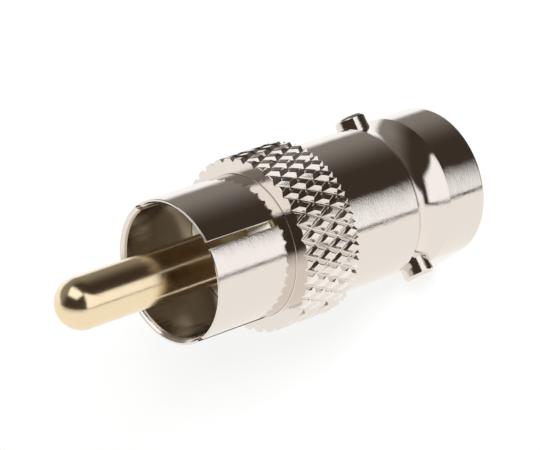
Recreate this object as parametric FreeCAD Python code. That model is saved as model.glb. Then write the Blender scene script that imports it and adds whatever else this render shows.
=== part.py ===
import FreeCAD, Part
import math
import os

# A phono plug to bayonet coaxial jack adapter, standing on the jack's rim with the phono pin pointing up.
# Z is the axis, and Z = 0 is the rim. Millimetres and degrees.
# An angle about the axis starts at +X, where one bayonet stud points, and grows towards +Y.

# Jack barrel
barrel_diameter = 9.6
barrel_wall = 0.75
barrel_length = 11.55
jack_depth = 8.45
lip_thickness = 0.8
rim_outer_chamfer = 0.12
rim_inner_chamfer = 0.25
groove_height = 3.0
groove_width = 2.8
groove_depth = 0.35

# Bayonet studs
stud_diameter = 2.0
stud_span = 11.0
stud_height = 4.05
stud_angle = 0.0
stud_chamfer = 0.18
stud_inner_recess = 0.05

# Knurled collar
collar_diameter = 10.94
collar_length = 4.3
knurl_teeth = 35
knurl_pitch = 1.914
knurl_depth = 0.25
knurl_top_share = 0.47
knurl_groove_share = 0.08
knurl_angle = 6.68

# Phono plug
sleeve_diameter = 9.0
sleeve_wall = 0.375
sleeve_length = 6.2
sleeve_seat_length = 3.2
sleeve_edge_chamfer = 0.08
sleeve_mouth_relief = 0.12
sleeve_mouth_length = 0.45
slot_width = 0.43
slot_depth = 5.2
slot_angle = 1.6
cavity_depth = 5.5
pin_diameter = 3.2
pin_free_length = 13.85
pin_neck_diameter = 2.0
pin_barb_height = 0.12
pin_barb_length = 0.7
pin_shank_diameter = 1.5
pin_shank_length = 2.4

# Insulators and socket contact
insulator_flange_thickness = 0.5
jack_flange_diameter = 7.0
post_diameter = 4.75
post_recess = 3.1
post_chamfer = 0.2
contact_diameter = 2.1
contact_bore = 1.38
contact_bore_depth = 5.0
contact_recess = 0.2
contact_lead_in = 0.15
contact_slot_width = 0.25
contact_slot_depth = 3.2
contact_tail_diameter = 3.0
contact_tail_length = 4.1
contact_flange_diameter = 3.8
contact_flange_thickness = 1.0
contact_side_clearance = 0.06
press_clearance = 0.01

# Heights above the rim, worked out from the sizes
jack_floor = jack_depth
flange_seat = jack_floor + lip_thickness
collar_base = barrel_length
collar_top = collar_base + collar_length
mouth = collar_top + sleeve_length
insulator_face = mouth - cavity_depth
sleeve_foot = collar_top - sleeve_seat_length
shoulder = sleeve_foot - insulator_flange_thickness
pin_tip = insulator_face + pin_free_length
shank_end = shoulder - pin_shank_length
post_end = post_recess
contact_end = post_end + contact_recess
contact_bore_end = contact_end + contact_bore_depth
tail_end = shoulder - contact_tail_length
groove_top = groove_height + groove_width

pin_radius = pin_diameter / 2
neck_radius = pin_neck_diameter / 2
barb_radius = neck_radius + pin_barb_height
shank_radius = pin_shank_diameter / 2
sleeve_radius = sleeve_diameter / 2
sleeve_bore_radius = sleeve_radius - sleeve_wall
collar_radius = collar_diameter / 2
barrel_radius = barrel_diameter / 2
barrel_bore_radius = barrel_radius - barrel_wall
jack_flange_radius = jack_flange_diameter / 2
post_radius = post_diameter / 2
contact_radius = contact_diameter / 2
contact_bore_radius = contact_bore / 2
tail_radius = contact_tail_diameter / 2
contact_flange_radius = contact_flange_diameter / 2
stud_radius = stud_diameter / 2

UP = FreeCAD.Vector(0, 0, 1)
ORIGIN = FreeCAD.Vector(0, 0, 0)


def at(height, radius):
    """A point of a turned profile, in the XZ half plane."""
    return FreeCAD.Vector(radius, 0, height)


def line(start, end):
    return Part.LineSegment(at(*start), at(*end)).toShape()


def arc(start, middle, end):
    return Part.Arc(at(*start), at(*middle), at(*end)).toShape()


def turned(edges):
    """A solid of revolution about Z from the edges of a closed profile."""
    return Part.Face(Part.Wire(edges)).revolve(ORIGIN, UP, 360)


def turned_outline(points):
    """A solid of revolution about Z from straight runs between points, closed back to the first."""
    closed = points + points[:1]
    return turned([line(a, b) for a, b in zip(closed, closed[1:])])


def saw_cut(width, reach, bottom, top, angle):
    """The slab that a saw takes out, straight across the axis at an angle about it."""
    slab = Part.makeBox(2 * reach, width, top - bottom, FreeCAD.Vector(-reach, -width / 2, bottom))
    slab.rotate(ORIGIN, UP, angle)
    return slab


def around(height, angle, radius):
    """A point at a height and an angle in radians about the axis."""
    return FreeCAD.Vector(radius * math.cos(angle), radius * math.sin(angle), height)


def knurl_corners(top, bottom):
    """The corner points of every tooth, and each tooth's first point by row and column, rows going down."""
    half_pitch = knurl_pitch / 2
    half_angle = math.pi / knurl_teeth
    groove_radius = collar_radius - knurl_depth
    last_row = math.ceil((top - bottom) / half_pitch) + 1
    points = []
    cells = {}
    # Each tooth has four corners in the grooves and four on its flat top: upper, low angle, lower, high angle.
    for row in range(-1, last_row + 1):
        for column in range(knurl_teeth):
            height = top - row * half_pitch
            angle = math.radians(knurl_angle) + (2 * column + (row + 1) % 2) * half_angle
            cells[row, column] = len(points)
            for share, radius in ((1 - knurl_groove_share, groove_radius), (knurl_top_share, collar_radius)):
                points.append(around(height + share * half_pitch, angle, radius))
                points.append(around(height, angle - share * half_angle, radius))
                points.append(around(height - share * half_pitch, angle, radius))
                points.append(around(height, angle + share * half_angle, radius))
    return points, cells


def knurl_triangles(cells):
    """The skin of the knurling: flat-topped teeth, and the narrow flats and crossings of the grooves between."""
    triangles = []

    def quad(a, b, c, d):
        triangles.append((a, b, c))
        triangles.append((a, c, d))

    for (row, column), start in cells.items():
        low = [start + k for k in range(4)]
        high = [start + 4 + k for k in range(4)]
        quad(*high)
        for k in range(4):
            after = (k + 1) % 4
            quad(low[k], low[after], high[after], high[k])
        left = (row + 1, (column - row % 2) % knurl_teeth)
        right = (row + 1, (column - row % 2 + 1) % knurl_teeth)
        beyond = (row + 2, column)
        if left in cells:
            quad(low[1], cells[left], cells[left] + 3, low[2])
            quad(low[3], low[2], cells[right] + 1, cells[right])
        if beyond in cells:
            quad(low[2], cells[left] + 3, cells[beyond], cells[right] + 1)
    return triangles


def knurled_blank(top, bottom):
    """The collar's solid core with diamond knurling, cut from a longer knurled bar."""
    points, cells = knurl_corners(top, bottom)
    triangles = knurl_triangles(cells)

    # The bar's ragged ends close on two points of the axis, outside the length that is kept.
    used = {edge for a, b, c in triangles for edge in ((a, b), (b, c), (c, a))}
    middle = (top + bottom) / 2
    above = len(points)
    below = above + 1
    highest = max(point.z for point in points)
    lowest = min(point.z for point in points)
    points.append(FreeCAD.Vector(0, 0, highest + knurl_pitch))
    points.append(FreeCAD.Vector(0, 0, lowest - knurl_pitch))
    for a, b in [edge for edge in used if edge[::-1] not in used]:
        triangles.append((b, a, above if points[a].z > middle else below))

    skin = Part.Shape()
    skin.makeShapeFromMesh((points, triangles), 1e-5)
    bar = Part.Solid(skin)
    if bar.Volume < 0:
        bar.reverse()
    reach = collar_diameter
    kept = Part.makeBox(2 * reach, 2 * reach, top - bottom, FreeCAD.Vector(-reach, -reach, bottom))
    return bar.common(kept)


def barrel_blank():
    """The solid barrel with its shallow round groove and its chamfered rim."""
    groove_middle = (groove_height + groove_top) / 2
    return turned([
        line((0, 0), (0, barrel_radius - rim_outer_chamfer)),
        line((0, barrel_radius - rim_outer_chamfer), (rim_outer_chamfer, barrel_radius)),
        line((rim_outer_chamfer, barrel_radius), (groove_height, barrel_radius)),
        arc((groove_height, barrel_radius), (groove_middle, barrel_radius - groove_depth), (groove_top, barrel_radius)),
        line((groove_top, barrel_radius), (collar_top, barrel_radius)),
        line((collar_top, barrel_radius), (collar_top, 0)),
        line((collar_top, 0), (0, 0)),
    ])


def body_bores():
    """What is bored out of the body: the jack's cavity, the lip, the insulator's seat and the sleeve's seat."""
    seat_radius = sleeve_radius + press_clearance
    flange_radius = jack_flange_radius + press_clearance
    lip_radius = post_radius + press_clearance
    return turned_outline([
        (0, 0),
        (0, barrel_bore_radius + rim_inner_chamfer),
        (rim_inner_chamfer, barrel_bore_radius),
        (jack_floor, barrel_bore_radius),
        (jack_floor, lip_radius),
        (flange_seat, lip_radius),
        (flange_seat, flange_radius),
        (shoulder, flange_radius),
        (shoulder, seat_radius),
        (collar_top, seat_radius),
        (collar_top, 0),
    ])


def pointing_out(shape, angle):
    """Lays a piece that was turned about Z at the studs' height, pointing out at an angle about the axis."""
    placed = shape.copy()
    placed.rotate(ORIGIN, FreeCAD.Vector(0, 1, 0), 90)
    placed.rotate(ORIGIN, UP, angle)
    placed.translate(FreeCAD.Vector(0, 0, stud_height))
    return placed


def body():
    """The one-piece turned body: knurled collar, barrel and bores, with the two stud holes."""
    blank = knurled_blank(collar_top, collar_base).fuse(barrel_blank())
    hole = Part.makeCylinder(stud_radius + press_clearance, barrel_diameter)
    cutters = [pointing_out(hole, stud_angle), pointing_out(hole, stud_angle + 180)]
    return blank.cut(body_bores().fuse(cutters))


def phono_sleeve():
    """The thin ground sleeve, pressed into the collar, with two saw cuts across that leave springy quarters."""
    tube = turned_outline([
        (sleeve_foot, sleeve_bore_radius),
        (sleeve_foot, sleeve_radius),
        (mouth - sleeve_edge_chamfer, sleeve_radius),
        (mouth, sleeve_radius - sleeve_edge_chamfer),
        (mouth, sleeve_bore_radius + sleeve_mouth_relief),
        (mouth - sleeve_mouth_length, sleeve_bore_radius),
    ])
    bottom = mouth - slot_depth
    top = mouth + slot_depth
    cuts = [saw_cut(slot_width, sleeve_diameter, bottom, top, slot_angle + turn) for turn in (0, 90)]
    return tube.cut(cuts)


def phono_pin():
    """The gilt centre pin: a round nose, a shoulder on the insulator, a barbed neck and a plain shank."""
    nose = pin_tip - pin_radius
    nose_rise = pin_radius * math.sqrt(0.5)
    barb_top = shoulder + pin_barb_length
    return turned([
        arc((pin_tip, 0), (nose + nose_rise, nose_rise), (nose, pin_radius)),
        line((nose, pin_radius), (insulator_face, pin_radius)),
        line((insulator_face, pin_radius), (insulator_face, neck_radius)),
        line((insulator_face, neck_radius), (barb_top, neck_radius)),
        line((barb_top, neck_radius), (barb_top, barb_radius)),
        line((barb_top, barb_radius), (shoulder, shank_radius)),
        line((shoulder, shank_radius), (shank_end, shank_radius)),
        line((shank_end, shank_radius), (shank_end, 0)),
        line((shank_end, 0), (pin_tip, 0)),
    ])


def phono_insulator():
    """The moulded bush at the bottom of the phono cavity, held by its flange under the sleeve."""
    bore_radius = neck_radius + press_clearance
    barb_bore_radius = barb_radius + press_clearance
    barb_bore_top = shoulder + pin_barb_length + press_clearance
    bush_radius = sleeve_bore_radius - press_clearance
    return turned_outline([
        (insulator_face, bore_radius),
        (insulator_face, bush_radius),
        (sleeve_foot, bush_radius),
        (sleeve_foot, sleeve_radius),
        (shoulder, sleeve_radius),
        (shoulder, barb_bore_radius),
        (barb_bore_top, barb_bore_radius),
        (barb_bore_top, bore_radius),
    ])


def jack_insulator():
    """The jack's insulator: a flange trapped against the body's lip and a post around the socket contact."""
    bore_radius = contact_radius + contact_side_clearance
    tail_bore_radius = tail_radius + press_clearance
    flange_bore_radius = contact_flange_radius + press_clearance
    flange_bore_end = shoulder - contact_flange_thickness
    return turned_outline([
        (post_end, bore_radius),
        (post_end, post_radius - post_chamfer),
        (post_end + post_chamfer, post_radius),
        (flange_seat, post_radius),
        (flange_seat, jack_flange_radius),
        (shoulder, jack_flange_radius),
        (shoulder, flange_bore_radius),
        (flange_bore_end, flange_bore_radius),
        (flange_bore_end, tail_bore_radius),
        (tail_end, tail_bore_radius),
        (tail_end, bore_radius),
    ])


def socket_contact():
    """The gilt socket contact: a flanged tail pressed on the pin's shank, and four sprung fingers at its mouth."""
    shank_bore_radius = shank_radius + press_clearance
    flange_end = shoulder - contact_flange_thickness
    contact = turned_outline([
        (contact_end, contact_bore_radius + contact_lead_in),
        (contact_end, contact_radius),
        (tail_end, contact_radius),
        (tail_end, tail_radius),
        (flange_end, tail_radius),
        (flange_end, contact_flange_radius),
        (shoulder, contact_flange_radius),
        (shoulder, shank_bore_radius),
        (shank_end, shank_bore_radius),
        (shank_end, 0),
        (contact_bore_end, 0),
        (contact_bore_end, contact_bore_radius),
        (contact_end + contact_lead_in, contact_bore_radius),
    ])
    bottom = contact_end - contact_slot_depth
    top = contact_end + contact_slot_depth
    return contact.cut([saw_cut(contact_slot_width, contact_diameter, bottom, top, angle) for angle in (0, 90)])


def bayonet_stud(angle):
    """A round stud pressed through the barrel's wall, its inner end just short of the bore."""
    inner = barrel_bore_radius + stud_inner_recess
    outer = stud_span / 2
    stud = turned_outline([
        (inner, 0),
        (inner, stud_radius),
        (outer - stud_chamfer, stud_radius),
        (outer, stud_radius - stud_chamfer),
        (outer, 0),
    ])
    return pointing_out(stud, angle)


def main():
    pieces = {
        "body": body(),
        "phono_sleeve": phono_sleeve(),
        "phono_pin": phono_pin(),
        "phono_insulator": phono_insulator(),
        "jack_insulator": jack_insulator(),
        "socket_contact": socket_contact(),
        "bayonet_stud_right": bayonet_stud(stud_angle),
        "bayonet_stud_left": bayonet_stud(stud_angle + 180),
    }
    os.makedirs("parts", exist_ok=True)
    for name, shape in pieces.items():
        shape.exportStep(f"parts/{name}.step")
        print(name, "valid", shape.isValid(), "solids", len(shape.Solids), "volume", round(shape.Volume, 3))


main()
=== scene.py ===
# A phono plug to bayonet coaxial jack adapter, standing on the jack's rim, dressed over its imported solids.
# The frame is the part's own, in metres: Z is the axis, Z = 0 is the rim, and +X goes through one stud.
import math

import bmesh
import bpy
from mathutils import Matrix, Vector


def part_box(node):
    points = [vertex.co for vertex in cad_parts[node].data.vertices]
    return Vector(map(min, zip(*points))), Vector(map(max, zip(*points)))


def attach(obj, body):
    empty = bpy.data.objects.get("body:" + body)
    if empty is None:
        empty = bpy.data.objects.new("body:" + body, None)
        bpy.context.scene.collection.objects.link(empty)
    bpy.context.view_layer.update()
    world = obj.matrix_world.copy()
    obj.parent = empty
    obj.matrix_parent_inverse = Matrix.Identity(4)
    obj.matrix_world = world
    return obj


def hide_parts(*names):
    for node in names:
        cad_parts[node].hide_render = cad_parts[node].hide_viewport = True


bl_info = {
    "name": "Phono to bayonet adapter",
    "version": (1, 0, 0),
    "blender": (4, 5, 0),
    "location": "3D View > Sidebar > Adapter",
    "description": "Builds a knurled coaxial adapter with its finishes and a small studio",
    "category": "Add Mesh",
}

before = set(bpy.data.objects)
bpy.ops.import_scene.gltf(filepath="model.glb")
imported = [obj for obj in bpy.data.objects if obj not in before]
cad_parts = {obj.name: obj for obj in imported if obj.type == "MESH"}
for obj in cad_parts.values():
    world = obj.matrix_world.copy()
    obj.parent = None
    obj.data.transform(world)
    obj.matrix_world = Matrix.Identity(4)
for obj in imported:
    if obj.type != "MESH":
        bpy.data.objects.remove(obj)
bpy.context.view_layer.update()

MM = 0.001
MICRON = 0.000001
COLUMNS = 256

# Two places nearer than a hair are one place. Welding joins the copies of one corner, and an edge as short
# as a sliver is what a cut leaves beside a corner.
HAIR = MM / 1000
WELD = MM / 100000
SLIVER = MM / 2000


def bottom(node):
    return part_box(node)[0].z


def top(node):
    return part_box(node)[1].z


def reach(node):
    """How far a node goes from the axis along +X."""
    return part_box(node)[1].x


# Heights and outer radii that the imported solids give.
COLLAR_TOP = top("body")
MOUTH = top("phono_sleeve")
SLEEVE_FOOT = bottom("phono_sleeve")
SLEEVE_RADIUS = reach("phono_sleeve")
INSULATOR_FACE = top("phono_insulator")
SHOULDER = bottom("phono_insulator")
PIN_TIP = top("phono_pin")
PIN_RADIUS = reach("phono_pin")
SHANK_END = bottom("phono_pin")
POST_END = bottom("jack_insulator")
CONTACT_END = bottom("socket_contact")
STUD_TIP = reach("bayonet_stud_right")
STUD_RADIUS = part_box("bayonet_stud_right")[1].y
STUD_HEIGHT = bottom("bayonet_stud_right") + STUD_RADIUS

# Fittings inside the adapter. Pieces that are pressed together stand PRESS_GAP apart.
PRESS_GAP = 0.01 * MM
SHANK_RADIUS = 0.75 * MM
PIN_NECK_RADIUS = 1.0 * MM
PIN_BARB_RADIUS = 1.12 * MM
PIN_BARB_HEIGHT = 0.7 * MM
FLANGE_RADIUS = reach("jack_insulator")
POST_RADIUS = 2.375 * MM
POST_BORE = 1.11 * MM
LIP_THICKNESS = 0.8 * MM
CONTACT_HEAD_RADIUS = 1.9 * MM
CONTACT_HEAD_HEIGHT = 1.0 * MM
CONTACT_BODY_RADIUS = 1.5 * MM
CONTACT_BODY_HEIGHT = 4.1 * MM
FINGER_RADIUS = 1.05 * MM
FINGER_LENGTH = 3.2 * MM
FINGER_SLOT = 0.25 * MM
CONTACT_BORE = 0.69 * MM
CONTACT_BORE_DEPTH = 5.0 * MM
CONTACT_ENTRY = 0.15 * MM

# Marks in the plating, by how many lie in a metre. A surface within BORE_REACH of the axis is a bore.
TURNING_MARKS = 12000
PATCHES = 900
GRAIN = 11000
BORE_STREAKS = 2600
BORE_REACH = 4.2 * MM


def length(name, millimetres, description):
    return bpy.props.FloatProperty(
        name=name, description=description, default=millimetres * MM, unit="LENGTH", precision=5
    )


def share(name, default, description):
    return bpy.props.FloatProperty(
        name=name, description=description, default=default, min=0, max=1, subtype="FACTOR"
    )


def colour(name, default, description):
    return bpy.props.FloatVectorProperty(
        name=name, description=description, default=default, size=3, min=0, max=1, subtype="COLOR"
    )


class AdapterSizes(bpy.types.PropertyGroup):
    """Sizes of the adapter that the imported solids' boxes don't give."""

    collar_radius: length("Collar radius", 5.47, "Radius over the tops of the knurl's teeth")
    collar_base: length("Collar base", 11.55, "Height of the collar's rear face above the rim")
    knurl_teeth: bpy.props.IntProperty(
        name="Knurl teeth", description="Teeth in one row", default=35, min=8
    )
    knurl_pitch: length("Knurl pitch", 1.914, "Height of one diamond along the axis")
    knurl_depth: length("Knurl depth", 0.25, "Depth of the knurl's grooves")
    knurl_top: share("Knurl top", 0.47, "Share of a tooth's width that its flat top takes")
    knurl_floor: share("Knurl floor", 0.08, "Share of a tooth's width that the groove's floor takes")
    knurl_angle: bpy.props.FloatProperty(
        name="Knurl angle", description="Where one groove crossing stands about the axis",
        default=math.radians(6.68), unit="ROTATION"
    )
    barrel_radius: length("Barrel radius", 4.8, "Outer radius of the jack's barrel")
    barrel_wall: length("Barrel wall", 0.75, "Wall of the barrel around the jack's cavity")
    jack_depth: length("Jack depth", 8.45, "Depth of the jack's cavity")
    groove_height: length("Groove height", 3.0, "Where the round groove starts above the rim")
    groove_width: length("Groove width", 2.8, "Width of the round groove along the axis")
    groove_depth: length("Groove depth", 0.35, "Depth of the round groove")
    slot_width: length("Slot width", 0.43, "Width of the saw cuts across the sleeve")
    slot_depth: length("Slot depth", 5.2, "Depth of the saw cuts from the sleeve's mouth")
    slot_angle: bpy.props.FloatProperty(
        name="Slot angle", description="Where the first saw cut stands about the axis",
        default=math.radians(1.6), unit="ROTATION"
    )
    sleeve_wall: length("Sleeve wall", 0.375, "Wall of the slotted sleeve")
    edge: length("Edge rounding", 0.03, "Rounding of the turned edges")


class AdapterFinishes(bpy.types.PropertyGroup):
    """Colours of the plating and of the mouldings."""

    nickel: colour("Nickel", (0.79, 0.738, 0.694), "Bright nickel plate")
    # Painted shade: the bore colour darkens and warms the nickel inside the sleeve and the jack, standing in
    # for the shade in those cavities.
    bore: colour("Bore", (0.5, 0.425, 0.34), "Duller nickel inside the sleeve and the jack")
    gilt: colour("Gilt", (0.87, 0.725, 0.5), "Thin bright gold plate")
    cream: colour("Cream", (0.86, 0.82, 0.72), "Moulded bush in the plug")
    white: colour("White", (0.92, 0.91, 0.88), "Turned insulator in the jack")
    roughness: share("Roughness", 0.07, "Roughness of the plating")


class AdapterStudio(bpy.types.PropertyGroup):
    """The floor and the light around the adapter."""

    floor_size: length("Floor size", 3000, "Width of the pale floor")
    lamp_power: bpy.props.FloatProperty(
        name="Lamp power", description="Power of the soft lamp in front", default=1.1, min=0, unit="POWER"
    )


class Socket:
    """An output of a shader node. Python's operators on it add Math nodes."""

    def __init__(self, board, output):
        self.board = board
        self.output = output

    def __add__(self, other):
        return self.board.maths("ADD", self, other)

    __radd__ = __add__

    def __sub__(self, other):
        return self.board.maths("SUBTRACT", self, other)

    def __rsub__(self, other):
        return self.board.maths("SUBTRACT", other, self)

    def __mul__(self, other):
        return self.board.maths("MULTIPLY", self, other)

    __rmul__ = __mul__


class Board:
    """A shader's node tree, filled by calls."""

    def __init__(self, tree):
        self.tree = tree
        tree.nodes.clear()

    def node(self, kind, settings=None, sockets=None, output=0):
        """Adds a node: its settings first, then the values or links of its sockets."""
        made = self.tree.nodes.new(kind)
        for name, value in (settings or {}).items():
            setattr(made, name, value)
        for key, value in (sockets or {}).items():
            if isinstance(value, Socket):
                self.tree.links.new(value.output, made.inputs[key])
            else:
                made.inputs[key].default_value = value
        return Socket(self, made.outputs[output]) if len(made.outputs) else made

    def maths(self, operation, *values):
        return self.node("ShaderNodeMath", {"operation": operation}, dict(enumerate(values)))

    def blend(self, mask, first, second):
        """A colour that goes from first, where mask is 0, to second, where it is 1."""
        return self.node("ShaderNodeMix", {"data_type": "RGBA"}, {0: mask, 6: first, 7: second}, 2)

    def ramp(self, value, low, high):
        """0 below low, 1 above high, and smooth between."""
        smooth = {"interpolation_type": "SMOOTHSTEP"}
        return self.node("ShaderNodeMapRange", smooth, {0: value, 1: low, 2: high, 3: 0, 4: 1})

    def vector(self, operation, first, second, output=0):
        return self.node("ShaderNodeVectorMath", {"operation": operation}, {0: first, 1: second}, output)

    def noise(self, place, scale, detail=3):
        return self.node("ShaderNodeTexNoise", {}, {"Vector": place, "Scale": scale, "Detail": detail})


def grey(value):
    return (value, value, value, 1)


def rgba(values):
    return (*values, 1)


def new_board(name):
    """A new material and the board of its nodes."""
    material = bpy.data.materials.new(name)
    material.use_nodes = True
    return material, Board(material.node_tree)


def plated(name, base, roughness, marks, bore=None):
    """A bright plated metal with a patchy grain, and with turning marks of a height in micrometres.

    Where a colour is given for the bore, the surfaces inside take it as painted shade, and are duller and
    streaky.
    """
    material, board = new_board(name)
    place = board.node("ShaderNodeTexCoord", output="Object")
    flat = board.vector("MULTIPLY", place, (1, 1, 0))
    radius = board.vector("LENGTH", flat, (0, 0, 0), "Value")
    height = board.node("ShaderNodeSeparateXYZ", {}, {0: place}, 2)
    turned = {"W": (height + radius) * TURNING_MARKS, "Scale": 1, "Detail": 3}
    rings = board.node("ShaderNodeTexNoise", {"noise_dimensions": "1D"}, turned)
    cloud = board.noise(place, PATCHES)
    grain = board.noise(place, GRAIN) * (cloud * 12 - 2)
    relief = rings * marks + grain
    tint = rgba(base)
    dullness = roughness * 0.7 + cloud * (roughness * 0.6)
    if bore:
        bored = 1 - board.ramp(radius, BORE_REACH, BORE_REACH + 0.06 * MM)
        drawn_out = board.vector("MULTIPLY", place, (1, 1, 0.12))
        relief = relief + bored * board.noise(drawn_out, BORE_STREAKS) * 24
        # Painted shade: inside the bore the base colour turns to the darker bore colour; the streaks and
        # added roughness are the plate's own.
        tint = board.blend(bored, rgba(base), rgba(bore))
        dullness = dullness + bored * 0.11
    bump = board.node("ShaderNodeBump", {}, {"Strength": 1, "Distance": MICRON, "Height": relief})
    shader = board.node("ShaderNodeBsdfPrincipled", {}, {
        "Base Color": tint, "Metallic": 1, "Roughness": dullness, "Normal": bump,
    })
    board.node("ShaderNodeOutputMaterial", {}, {"Surface": shader})
    return material


def moulded(name, base):
    """A plain plastic with a faint cloudiness in its colour."""
    material, board = new_board(name)
    place = board.node("ShaderNodeTexCoord", output="Object")
    cloud = board.noise(place, 1500)
    darker = tuple(0.92 * value for value in base)
    tint = board.blend(cloud, rgba(darker), rgba(base))
    grain = board.noise(place, 9000)
    bump = board.node("ShaderNodeBump", {}, {"Strength": 0.3, "Distance": 10 * MICRON, "Height": grain})
    shader = board.node("ShaderNodeBsdfPrincipled", {}, {
        "Base Color": tint, "Roughness": 0.5, "Normal": bump,
    })
    board.node("ShaderNodeOutputMaterial", {}, {"Surface": shader})
    return material


def rounded(corners, steps=4):
    """The points of a profile of (height, radius, rounding) corners, with each rounding as a short curve.

    A curve takes no more than 0.4 of a side. It has one more point before it and after it, a fifth of its
    reach away, which keeps its shading off the long faces.
    """
    most = 0.4
    guard = 1.2
    points = []
    for index, (height, radius, rounding) in enumerate(corners):
        here = Vector((height, radius))
        if rounding == 0:
            points.append(here)
            continue
        back = Vector(corners[index - 1][:2]) - here
        ahead = Vector(corners[(index + 1) % len(corners)][:2]) - here
        start = here + back.normalized() * min(rounding, most * back.length)
        end = here + ahead.normalized() * min(rounding, most * ahead.length)
        points.append(here + guard * (start - here))
        for step in range(steps + 1):
            t = step / steps
            points.append(start * (1 - t) ** 2 + here * 2 * t * (1 - t) + end * t ** 2)
        points.append(here + guard * (end - here))
    return points


def even_angles(count):
    return [2 * math.pi * k / count for k in range(count)]


def ring(mesh, height, radius, angles):
    """A ring of vertices about the axis, or one vertex on it."""
    if radius < HAIR:
        return [mesh.verts.new((0, 0, height))]
    return [mesh.verts.new((radius * math.cos(a), radius * math.sin(a), height)) for a in angles]


def join(mesh, first, second, around=True):
    """Faces between two rings, or between a ring and one vertex on the axis."""
    count = max(len(first), len(second))
    if count == 1:
        return
    first, second = (line * count if len(line) == 1 else line for line in (first, second))
    for k in range(count if around else count - 1):
        after = (k + 1) % count
        corners = [first[k], first[after], second[after], second[k]]
        mesh.faces.new(list(dict.fromkeys(corners)))


def chain(mesh, rings):
    for first, second in zip(rings, rings[1:]):
        join(mesh, first, second)


def join_unlike(mesh, first, second):
    """Triangles between two rings with unlike numbers of vertices, each in order about the axis."""
    def turn(vertex):
        return math.atan2(vertex.co.y, vertex.co.x) % (2 * math.pi)

    first, second = sorted(first, key=turn), sorted(second, key=turn)
    i = j = 0
    while i < len(first) or j < len(second):
        next_first = turn(first[i]) if i < len(first) else math.inf
        next_second = turn(second[j]) if j < len(second) else math.inf
        if next_first < next_second:
            mesh.faces.new((first[i - 1], first[i], second[j - 1]))
            i += 1
        else:
            mesh.faces.new((first[i - 1], second[j], second[j - 1]))
            j += 1


def lathe(corners):
    """A mesh turned about the axis from a closed profile of rounded corners."""
    mesh = bmesh.new()
    angles = even_angles(COLUMNS)
    rings = [ring(mesh, height, radius, angles) for height, radius in rounded(corners)]
    chain(mesh, rings + rings[:1])
    return mesh


def slotted_lathe(corners, slot_level, slot_width, slot_angle, burr):
    """A turned mesh whose fingers, past slot_level, are parted by two saw cuts across the axis.

    The fingers' long edges are broken by a small slope, burr wide.
    """
    mesh = bmesh.new()
    points = rounded(corners)
    level = [k for k, point in enumerate(points) if abs(point.x - slot_level) < HAIR]
    first, last = level[0], level[-1]
    middle = (points[first].y + points[last].y) / 2
    steps = COLUMNS // 4
    rings = []
    for index, (height, radius) in enumerate(points):
        if radius == 0:
            rings.append(ring(mesh, height, 0, [0]))
            continue
        half = math.asin(slot_width / 2 / radius)
        slope = burr if first < index < last else 0
        inset = max(slope, 10 * HAIR) / radius
        edge_radius = radius - slope if radius > middle else radius + slope
        line = []
        for quarter in range(4):
            start = slot_angle + quarter * math.pi / 2 + half
            end = start + math.pi / 2 - 2 * half
            step = (end - start - 2 * inset) / steps
            line += ring(mesh, height, edge_radius, [start])
            line += ring(mesh, height, radius, [start + inset + step * k for k in range(steps + 1)])
            line += ring(mesh, height, edge_radius, [end])
        rings.append(line)
    chain(mesh, rings[last:] + rings[:first + 1])
    for quarter in range(4):
        start = quarter * (steps + 3)
        end = start + steps + 2
        finger = [line[start:end + 1] for line in rings[first:last + 1]]
        for lower, upper in zip(finger, finger[1:]):
            join(mesh, lower, upper, around=False)
        mesh.faces.new([line[0] for line in finger])
        mesh.faces.new([line[-1] for line in finger])
        following = (end + 1) % len(rings[first])
        outer, inner = rings[first], rings[last]
        mesh.faces.new([outer[end], outer[following], inner[following], inner[end]])
    return mesh


def cut_across(mesh, height, keep=None):
    """Cuts the mesh at a height, and drops what is above or below it when keep says so."""
    bmesh.ops.bisect_plane(
        mesh, geom=mesh.verts[:] + mesh.edges[:] + mesh.faces[:], dist=WELD,
        plane_co=(0, 0, height), plane_no=(0, 0, 1),
        clear_outer=keep == "below", clear_inner=keep == "above",
    )


def knurl_rows(sizes):
    """Shares of a half tooth from its middle to the groove's middle, each with the radius there."""
    half_width = 1 / math.hypot(2 / sizes.knurl_pitch, sizes.knurl_teeth / math.pi / sizes.collar_radius)
    floor_radius = sizes.collar_radius - sizes.knurl_depth
    profile = rounded([
        (0, sizes.collar_radius, 0),
        (half_width * sizes.knurl_top, sizes.collar_radius, sizes.edge),
        (half_width * (1 - sizes.knurl_floor), floor_radius, sizes.edge),
        (half_width, floor_radius, 0),
    ], steps=1)
    inward = [(point.x / half_width, point.y) for point in profile]
    return [(-part, radius) for part, radius in inward[:0:-1]] + inward


def knurl_skin(mesh, sizes):
    """The knurled face of the collar: flat-topped diamond teeth between two crossing sets of grooves."""
    rows = knurl_rows(sizes)
    half_pitch = sizes.knurl_pitch / 2
    half_angle = math.pi / sizes.knurl_teeth
    bands = math.ceil((COLLAR_TOP - sizes.collar_base) / half_pitch)
    for band in range(bands + 1):
        for tooth in range(sizes.knurl_teeth):
            height = COLLAR_TOP - band * half_pitch
            angle = sizes.knurl_angle + (2 * tooth + (band + 1) % 2) * half_angle
            grid = []
            for first, first_radius in rows:
                line = []
                for second, second_radius in rows:
                    at = angle + (first - second) / 2 * half_angle
                    level = height + (first + second) / 2 * half_pitch
                    line += ring(mesh, level, min(first_radius, second_radius), [at])
                grid.append(line)
            tooth_faces(mesh, grid)
    bmesh.ops.remove_doubles(mesh, verts=mesh.verts, dist=WELD)


def tooth_faces(mesh, grid):
    """Triangles of one tooth, split so that the edges between its flanks stay straight."""
    last = len(grid) - 1
    for i in range(last):
        for j in range(last):
            a, b, c, d = grid[i][j], grid[i + 1][j], grid[i + 1][j + 1], grid[i][j + 1]
            if (2 * i < last) == (2 * j < last):
                mesh.faces.new((a, b, c))
                mesh.faces.new((a, c, d))
            else:
                mesh.faces.new((a, b, d))
                mesh.faces.new((b, c, d))


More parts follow.
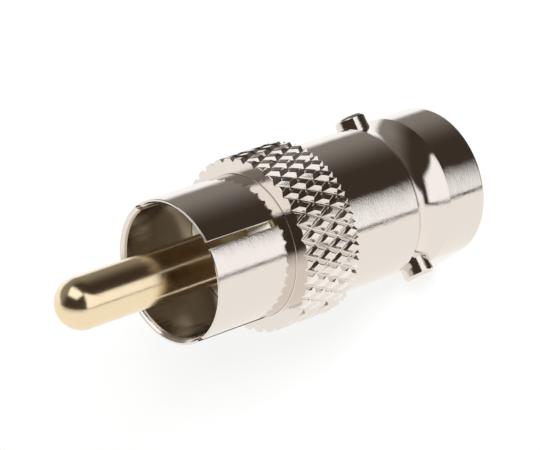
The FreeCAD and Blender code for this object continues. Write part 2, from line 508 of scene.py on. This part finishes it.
def rim_of(mesh, height):
    """The vertices of the mesh's open edge at a height."""
    ends = (vertex for edge in mesh.edges if edge.is_boundary for vertex in edge.verts)
    return list(dict.fromkeys(vertex for vertex in ends if abs(vertex.co.z - height) < HAIR))


def collar_skin(mesh, sizes):
    """The knurled face, cut to the collar's length, with its two edges broken at half a right angle."""
    knurl_skin(mesh, sizes)
    highest = COLLAR_TOP - sizes.edge
    lowest = sizes.collar_base + sizes.edge
    cut_across(mesh, COLLAR_TOP, keep="below")
    cut_across(mesh, sizes.collar_base, keep="above")
    cut_across(mesh, highest)
    cut_across(mesh, lowest)
    for vertex in mesh.verts:
        past = max(vertex.co.z - highest, lowest - vertex.co.z, 0)
        radius = math.hypot(vertex.co.x, vertex.co.y)
        kept = min(radius, sizes.collar_radius - past) / radius
        vertex.co.x *= kept
        vertex.co.y *= kept
    bmesh.ops.remove_doubles(mesh, verts=mesh.verts, dist=SLIVER)


def plug_side(sizes):
    """The body's profile from the collar's front face, with a thin ring around the sleeve, into its seat."""
    seat = SLEEVE_RADIUS + PRESS_GAP
    bottom_of_seat = (seat + FLANGE_RADIUS + PRESS_GAP) / 2
    return rounded([
        (COLLAR_TOP, sizes.collar_radius - 2 * sizes.knurl_depth, 0),
        (COLLAR_TOP, seat, 0.06 * MM),
        (COLLAR_TOP + 0.07 * MM, seat, 0),
        (COLLAR_TOP, seat - PRESS_GAP / 2, 0),
        (SHOULDER, seat - PRESS_GAP / 2, 0),
        (SHOULDER, bottom_of_seat, 0),
    ])


def jack_side(sizes):
    """The body's profile from the collar's rear face along the barrel, round the rim and up its bores."""
    bore = sizes.barrel_radius - sizes.barrel_wall
    strip = 0.15 * MM
    lip = POST_RADIUS + PRESS_GAP
    lip_top = sizes.jack_depth + LIP_THICKNESS
    flange = FLANGE_RADIUS + PRESS_GAP
    points = rounded([
        (sizes.collar_base, sizes.collar_radius - 2 * sizes.knurl_depth, 0),
        (sizes.collar_base, sizes.barrel_radius, 0.06 * MM),
        (sizes.groove_height + sizes.groove_width + strip, sizes.barrel_radius, 0),
    ])
    points += groove_points(sizes)
    points += rounded([
        (sizes.groove_height - strip, sizes.barrel_radius, 0),
        (0, sizes.barrel_radius, 0.12 * MM),
        (0, bore, 0.25 * MM),
        (sizes.jack_depth, bore, 0.06 * MM),
        (sizes.jack_depth, lip, sizes.edge),
        (lip_top, lip, sizes.edge),
        (lip_top, flange, 0),
        (SHOULDER, flange, 0),
    ])
    return points


def body_mesh(sizes):
    """The turned body: knurled collar, barrel, round groove, rim and bores."""
    mesh = bmesh.new()
    collar_skin(mesh, sizes)
    front_rim, rear_rim = rim_of(mesh, COLLAR_TOP), rim_of(mesh, sizes.collar_base)
    profile = plug_side(sizes) + jack_side(sizes)[::-1]
    angles = even_angles(COLUMNS)
    rings = [ring(mesh, height, radius, angles) for height, radius in profile]
    chain(mesh, rings)
    join_unlike(mesh, front_rim, rings[0])
    join_unlike(mesh, rear_rim, rings[-1])
    return mesh


def groove_points(sizes, steps=24):
    """The round groove's arc from its collar side to its rim side."""
    half = sizes.groove_width / 2
    middle = sizes.groove_height + half
    arc_radius = (half ** 2 + sizes.groove_depth ** 2) / (2 * sizes.groove_depth)
    centre = sizes.barrel_radius - sizes.groove_depth + arc_radius
    spread = math.asin(half / arc_radius)
    angles = [spread * (1 - 2 * step / steps) for step in range(steps + 1)]
    return [Vector((middle + arc_radius * math.sin(a), centre - arc_radius * math.cos(a))) for a in angles]


def sharpen(data, levels):
    """Makes the edges sharp that lie level at one of the given heights."""
    heights = [vertex.co.z for vertex in data.vertices]
    for edge in data.edges:
        start, end = (heights[index] for index in edge.vertices)
        if abs(start - end) < HAIR and any(abs(start - level) < HAIR for level in levels):
            edge.use_edge_sharp = True


def place(name, mesh, material, slot, node, creases=()):
    """Makes an object of a mesh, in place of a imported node, with sharp edges at the heights in creases."""
    bmesh.ops.recalc_face_normals(mesh, faces=mesh.faces)
    data = bpy.data.meshes.new(name)
    mesh.to_mesh(data)
    mesh.free()
    data.shade_smooth()
    data.set_sharp_from_angle(angle=math.radians(31))
    sharpen(data, creases)
    data.materials.append(material)
    made = bpy.data.objects.new(name, data)
    bpy.context.scene.collection.objects.link(made)
    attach(made, "root")
    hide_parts(node)


def finish(name):
    """A finish by name, made once from the colours in the panel."""
    if name in bpy.data.materials:
        return bpy.data.materials[name]
    finishes = bpy.context.scene.adapter_finishes
    if name == "bright nickel":
        # The bore colour passed here is painted shade for the nickel inside the cavities.
        return plated(name, finishes.nickel, finishes.roughness, 0.75, finishes.bore)
    if name == "bright gilt":
        return plated(name, finishes.gilt, 2.6 * finishes.roughness, 0.5)
    if name == "cream moulding":
        return moulded(name, finishes.cream)
    return moulded(name, finishes.white)


class ADAPTER_OT_body(bpy.types.Operator):
    """Builds the one-piece body with its knurled collar and barrel."""

    bl_idname = "adapter.body"
    bl_label = "Body"

    def execute(self, context):
        sizes = context.scene.adapter_sizes
        groove_ends = (sizes.groove_height, sizes.groove_height + sizes.groove_width)
        place("turned_body", body_mesh(sizes), finish("bright nickel"), "nickel", "body", groove_ends)
        return {"FINISHED"}


class ADAPTER_OT_sleeve(bpy.types.Operator):
    """Builds the slotted sleeve of the phono plug."""

    bl_idname = "adapter.sleeve"
    bl_label = "Sleeve"

    def execute(self, context):
        sizes = context.scene.adapter_sizes
        bore = SLEEVE_RADIUS - sizes.sleeve_wall
        level = MOUTH - sizes.slot_depth
        mesh = slotted_lathe([
            (SLEEVE_FOOT, SLEEVE_RADIUS, 0),
            (level, SLEEVE_RADIUS, 0),
            (MOUTH, SLEEVE_RADIUS, 0.08 * MM),
            (MOUTH, bore + 0.24 * MM, 0.02 * MM),
            (MOUTH - 0.27 * MM, bore, 0.02 * MM),
            (level, bore, 0),
            (SLEEVE_FOOT, bore, 0),
        ], level, sizes.slot_width, sizes.slot_angle, sizes.edge)
        place("slotted_sleeve", mesh, finish("bright nickel"), "nickel", "phono_sleeve")
        return {"FINISHED"}


class ADAPTER_OT_pin(bpy.types.Operator):
    """Builds the gilt centre pin."""

    bl_idname = "adapter.pin"
    bl_label = "Pin"

    def execute(self, context):
        steps = 24
        nose = PIN_TIP - PIN_RADIUS
        quarter = [math.pi / 2 * step / steps for step in range(1, steps + 1)]
        corners = [(PIN_TIP, 0, 0)]
        corners += [(nose + PIN_RADIUS * math.cos(a), PIN_RADIUS * math.sin(a), 0) for a in quarter]
        corners += [
            (INSULATOR_FACE, PIN_RADIUS, 0),
            (INSULATOR_FACE, PIN_NECK_RADIUS, 0),
            (SHOULDER + PIN_BARB_HEIGHT, PIN_NECK_RADIUS, 0),
            (SHOULDER + PIN_BARB_HEIGHT, PIN_BARB_RADIUS, 0),
            (SHOULDER, SHANK_RADIUS, 0),
            (SHANK_END, SHANK_RADIUS, 0),
            (SHANK_END, 0, 0),
        ]
        place("centre_pin", lathe(corners), finish("bright gilt"), "gilt", "phono_pin")
        return {"FINISHED"}


class ADAPTER_OT_insulators(bpy.types.Operator):
    """Builds the insulator of the plug and the insulator of the jack."""

    bl_idname = "adapter.insulators"
    bl_label = "Insulators"

    def execute(self, context):
        sizes = context.scene.adapter_sizes
        bush_radius = SLEEVE_RADIUS - sizes.sleeve_wall - PRESS_GAP
        neck_bore = PIN_NECK_RADIUS + PRESS_GAP
        barb_bore = PIN_BARB_RADIUS + PRESS_GAP
        barb_top = SHOULDER + PIN_BARB_HEIGHT + PRESS_GAP
        bush = lathe([
            (INSULATOR_FACE, neck_bore, 0.05 * MM),
            (INSULATOR_FACE, bush_radius, 0.06 * MM),
            (SLEEVE_FOOT, bush_radius, 0),
            (SLEEVE_FOOT, SLEEVE_RADIUS, 0),
            (SHOULDER, SLEEVE_RADIUS, 0),
            (SHOULDER, barb_bore, 0),
            (barb_top, barb_bore, 0),
            (barb_top, neck_bore, 0),
        ])
        place("plug_insulator", bush, finish("cream moulding"), "bush_plastic", "phono_insulator")
        lip_top = sizes.jack_depth + LIP_THICKNESS
        head_bore = CONTACT_HEAD_RADIUS + PRESS_GAP
        body_bore = CONTACT_BODY_RADIUS + PRESS_GAP
        post = lathe([
            (POST_END, POST_BORE, 0.04 * MM),
            (POST_END, POST_RADIUS, 0.2 * MM),
            (lip_top, POST_RADIUS, 0),
            (lip_top, FLANGE_RADIUS, 0),
            (SHOULDER, FLANGE_RADIUS, 0),
            (SHOULDER, head_bore, 0),
            (SHOULDER - CONTACT_HEAD_HEIGHT, head_bore, 0),
            (SHOULDER - CONTACT_HEAD_HEIGHT, body_bore, 0),
            (SHOULDER - CONTACT_BODY_HEIGHT, body_bore, 0),
            (SHOULDER - CONTACT_BODY_HEIGHT, POST_BORE, 0),
        ])
        place("post_insulator", post, finish("white moulding"), "jack_plastic", "jack_insulator")
        return {"FINISHED"}


class ADAPTER_OT_contact(bpy.types.Operator):
    """Builds the gilt socket contact with its four sprung fingers."""

    bl_idname = "adapter.contact"
    bl_label = "Socket contact"

    def execute(self, context):
        sizes = context.scene.adapter_sizes
        level = CONTACT_END + FINGER_LENGTH
        bore_end = CONTACT_END + CONTACT_BORE_DEPTH
        shank_bore = SHANK_RADIUS + PRESS_GAP
        mesh = slotted_lathe([
            (level, FINGER_RADIUS, 0),
            (CONTACT_END, FINGER_RADIUS, sizes.edge),
            (CONTACT_END, CONTACT_BORE + CONTACT_ENTRY, 0),
            (CONTACT_END + CONTACT_ENTRY, CONTACT_BORE, 0),
            (level, CONTACT_BORE, 0),
            (bore_end, CONTACT_BORE, 0),
            (bore_end, 0, 0),
            (SHANK_END, 0, 0),
            (SHANK_END, shank_bore, 0),
            (SHOULDER, shank_bore, 0),
            (SHOULDER, CONTACT_HEAD_RADIUS, 0),
            (SHOULDER - CONTACT_HEAD_HEIGHT, CONTACT_HEAD_RADIUS, 0),
            (SHOULDER - CONTACT_HEAD_HEIGHT, CONTACT_BODY_RADIUS, 0),
            (SHOULDER - CONTACT_BODY_HEIGHT, CONTACT_BODY_RADIUS, 0),
            (SHOULDER - CONTACT_BODY_HEIGHT, FINGER_RADIUS, 0),
        ], level, FINGER_SLOT, 0, 0.02 * MM)
        place("sprung_contact", mesh, finish("bright gilt"), "gilt", "socket_contact")
        return {"FINISHED"}


class ADAPTER_OT_studs(bpy.types.Operator):
    """Builds the two bayonet studs."""

    bl_idname = "adapter.studs"
    bl_label = "Bayonet studs"

    def execute(self, context):
        sizes = context.scene.adapter_sizes
        inner = sizes.barrel_radius - sizes.barrel_wall + 0.05 * MM
        chamfer = 0.18 * MM
        for side, turn in (("right", 0), ("left", math.pi)):
            mesh = lathe([
                (inner, 0, 0),
                (inner, STUD_RADIUS, 0.05 * MM),
                (STUD_TIP - chamfer, STUD_RADIUS, 0.04 * MM),
                (STUD_TIP, STUD_RADIUS - chamfer, 0.04 * MM),
                (STUD_TIP, 0, 0),
            ])
            lay = Matrix.Rotation(math.pi / 2, 4, "Y")
            mesh.transform(Matrix.Translation((0, 0, STUD_HEIGHT)) @ Matrix.Rotation(turn, 4, "Z") @ lay)
            place(f"stud_{side}", mesh, finish("bright nickel"), "nickel", f"bayonet_stud_{side}")
        return {"FINISHED"}


# The adapter lay on its side when it was photographed. These directions were up and to its front then.
TABLE_UP = Vector((0.8018, -0.5976, 0))
TABLE_FRONT = Vector((-0.5976, -0.8018, 0))

# The studio that the metal mirrors. A surface lies between bearings and between heights in degrees, seen from
# the adapter: bearing 0 is to its front, bearing 90 is past the jack's rim, and height 0 is level.
DARK_WALL = (0.05, 0.037, 0.028)
GREY_WALL = (0.27, 0.25, 0.225)
GREY_PAST_JACK = (74, 142)
GREY_PAST_PLUG = (-140, -105)
CEILING_FADE = (32, 78)
BACKDROP_OPPOSITE = -12
BACKDROP_FADE = (118, 132)
CARD_BEARINGS = (62, 93)
CARD_HEIGHTS = (-9, 5)
FRONT_BOX_LEFT = (-20, -12)
FRONT_BOX_RIGHT = 45.5
FRONT_BOX_FOOT = -2.8
FRONT_BOX_TOP = 49.5
TOP_BOX_ACROSS = (-0.62, 0.62)
TOP_BOX_LENGTHWISE = (-1.2, -0.24)
TABLE = (1.015, 0.995, 0.96)
TABLE_EDGE = (-7.5, -4.5)
TABLE_SHADE = (-26, 8)
TABLE_SHADE_BEARINGS = (-125, -25)

LAMP_PLACE = Vector((11, -224, 199)) * MM
LAMP_SIZE = 50 * MM
CAMERA_PLACE = Vector((-21.1367, -154.5251, 140.7709)) * MM
CAMERA_RIGHT = Vector((-0.407131, -0.545834, -0.732331))
CAMERA_UP = Vector((0.906908, -0.336786, -0.253166))
CAMERA_LENS = 220.17


def between(board, value, low, high, soft):
    """1 where value lies between low and high, fading over soft at either end."""
    rise = board.ramp(value, low - soft, low + soft)
    return rise * (1 - board.ramp(value, high - soft, high + soft))


def surroundings(board):
    """What bright metal mirrors: a table, a lit backdrop, grey and dark walls, a card and two soft boxes."""
    direction = board.node("ShaderNodeTexCoord", output="Generated")
    upward = board.vector("DOT_PRODUCT", direction, TABLE_UP, "Value")
    front = board.vector("DOT_PRODUCT", direction, TABLE_FRONT, "Value")
    along = board.vector("DOT_PRODUCT", direction, (0, 0, -1), "Value")
    degree = 180 / math.pi
    height = board.maths("ARCSINE", upward) * degree
    bearing = board.maths("ARCTAN2", along, front) * degree

    greyness = board.ramp(bearing, *GREY_PAST_JACK) + 1 - board.ramp(bearing, *GREY_PAST_PLUG)
    room = board.blend(greyness, rgba(DARK_WALL), rgba(GREY_WALL))
    room = board.blend(board.ramp(height, *CEILING_FADE), room, rgba(DARK_WALL))
    room = board.blend(lit_backdrop(board, bearing, height), room, grey(1.1))
    card = between(board, bearing, *CARD_BEARINGS, 5) * between(board, height, *CARD_HEIGHTS, 4)
    room = board.blend(card, room, grey(1.05))
    room = board.blend(front_box(board, bearing, height), room, grey(1.14))
    room = board.blend(top_box(board, upward, front, along), room, grey(1.25))

    shaded = board.blend(board.ramp(height, *TABLE_SHADE), rgba(TABLE), rgba(DARK_WALL))
    table = board.blend(between(board, bearing, *TABLE_SHADE_BEARINGS, 18), rgba(TABLE), shaded)
    return board.blend(board.ramp(height, *TABLE_EDGE), table, room)


def lit_backdrop(board, bearing, height):
    """The backdrop behind the table. It reaches higher towards its middle."""
    turned = board.maths("ABSOLUTE", board.maths("WRAP", bearing - BACKDROP_OPPOSITE, 180, -180))
    top_edge = (turned - 117) * 0.4
    return (1 - board.ramp(height - top_edge, -6, 6)) * board.ramp(turned, *BACKDROP_FADE)


def front_box(board, bearing, height):
    """The soft box in front. Its right side leans in higher up, and its left end is taller."""
    right = FRONT_BOX_RIGHT - 1.5 * board.maths("MAXIMUM", height - 29, 0)
    top_edge = FRONT_BOX_TOP + 12 * (1 - board.ramp(bearing, 5, 20))
    sides = board.ramp(bearing, *FRONT_BOX_LEFT) * (1 - board.ramp(bearing - right, -5, 5))
    return between(board, height, FRONT_BOX_FOOT, top_edge, 1.3) * sides


def top_box(board, upward, front, along):
    """The soft box overhead, with its sides given as places on a ceiling one unit above the adapter."""
    rise = board.maths("MAXIMUM", upward, 0.02)
    across = board.maths("DIVIDE", front, rise)
    lengthwise = board.maths("DIVIDE", along, rise)
    ends = between(board, lengthwise, *TOP_BOX_LENGTHWISE, 0.04)
    return between(board, across, *TOP_BOX_ACROSS, 0.06) * ends


def light_world():
    """A world that lights the adapter with its surroundings, and shows plain white to the camera."""
    world = bpy.data.worlds.new("studio light")
    world.use_nodes = True
    board = Board(world.node_tree)
    seen = board.node("ShaderNodeLightPath", output="Is Camera Ray")
    colour_seen = board.blend(seen, surroundings(board), grey(1))
    shader = board.node("ShaderNodeBackground", {}, {"Color": colour_seen})
    board.node("ShaderNodeOutputWorld", {}, {"Surface": shader})
    bpy.context.scene.world = world


def pale_floor(studio):
    """A white floor just under the rim, which shows a faint shadow and isn't mirrored in the metal."""
    mesh = bmesh.new()
    bmesh.ops.create_grid(mesh, x_segments=1, y_segments=1, size=studio.floor_size / 2)
    data = bpy.data.meshes.new("floor")
    mesh.to_mesh(data)
    mesh.free()
    material, board = new_board("pale floor")
    matte = board.node("ShaderNodeBsdfDiffuse", {}, {"Color": grey(0.95)})
    glow = board.node("ShaderNodeEmission", {}, {"Color": grey(0.99)})
    seen = board.node("ShaderNodeLightPath", output="Is Camera Ray")
    mixed = board.node("ShaderNodeMixShader", {}, {0: seen * 0.8, 1: matte, 2: glow})
    board.node("ShaderNodeOutputMaterial", {}, {"Surface": mixed})
    data.materials.append(material)
    floor = bpy.data.objects.new("floor", data)
    bpy.context.scene.collection.objects.link(floor)
    floor.location.z = -5 * HAIR
    floor.visible_glossy = False


def soft_lamp(studio):
    """A lamp beside the camera, which lights the insulator in the sleeve and isn't mirrored in the metal."""
    data = bpy.data.lights.new("soft lamp", "AREA")
    data.size = LAMP_SIZE
    data.energy = studio.lamp_power
    lamp = bpy.data.objects.new("soft lamp", data)
    bpy.context.scene.collection.objects.link(lamp)
    lamp.location = LAMP_PLACE
    lamp.rotation_euler = (-LAMP_PLACE).to_track_quat("-Z", "Y").to_euler()
    lamp.visible_glossy = False


def photo_camera():
    """The camera at the place, turn and lens that were fitted to the photograph."""
    data = bpy.data.cameras.new("camera")
    data.sensor_width = 36
    data.lens = CAMERA_LENS
    data.clip_start = 0.01
    data.clip_end = 10
    camera = bpy.data.objects.new("camera", data)
    bpy.context.scene.collection.objects.link(camera)
    back = CAMERA_RIGHT.cross(CAMERA_UP)
    camera.matrix_world = Matrix.Translation(CAMERA_PLACE) @ Matrix(
        (CAMERA_RIGHT, CAMERA_UP, back)
    ).transposed().to_4x4()
    bpy.context.scene.camera = camera


class ADAPTER_OT_stage(bpy.types.Operator):
    """Builds the floor, the light and the camera."""

    bl_idname = "adapter.stage"
    bl_label = "Studio"

    def execute(self, context):
        studio = context.scene.adapter_studio
        light_world()
        pale_floor(studio)
        soft_lamp(studio)
        photo_camera()
        context.scene.view_settings.view_transform = "Standard"
        return {"FINISHED"}


class ADAPTER_PT_panel(bpy.types.Panel):
    """Lists the adapter's sizes, finishes, studio and operators."""

    bl_idname = "ADAPTER_PT_panel"
    bl_label = "Adapter"
    bl_space_type = "VIEW_3D"
    bl_region_type = "UI"
    bl_category = "Adapter"

    def draw(self, context):
        for group_name, group in GROUPS.items():
            for name in group.__annotations__:
                self.layout.prop(getattr(context.scene, group_name), name)
        for operator in OPERATORS:
            self.layout.operator(operator.bl_idname)


GROUPS = {
    "adapter_sizes": AdapterSizes,
    "adapter_finishes": AdapterFinishes,
    "adapter_studio": AdapterStudio,
}
OPERATORS = (
    ADAPTER_OT_body,
    ADAPTER_OT_sleeve,
    ADAPTER_OT_pin,
    ADAPTER_OT_insulators,
    ADAPTER_OT_contact,
    ADAPTER_OT_studs,
    ADAPTER_OT_stage,
)


def register():
    for name, group in GROUPS.items():
        bpy.utils.register_class(group)
        setattr(bpy.types.Scene, name, bpy.props.PointerProperty(type=group))
    for operator in OPERATORS:
        bpy.utils.register_class(operator)
    bpy.utils.register_class(ADAPTER_PT_panel)


def unregister():
    bpy.utils.unregister_class(ADAPTER_PT_panel)
    for operator in reversed(OPERATORS):
        bpy.utils.unregister_class(operator)
    for name, group in GROUPS.items():
        delattr(bpy.types.Scene, name)
        bpy.utils.unregister_class(group)


def main():
    register()
    bpy.ops.adapter.body()
    bpy.ops.adapter.sleeve()
    bpy.ops.adapter.pin()
    bpy.ops.adapter.insulators()
    bpy.ops.adapter.contact()
    bpy.ops.adapter.studs()
    bpy.ops.adapter.stage()


if __name__ == "__main__":
    main()
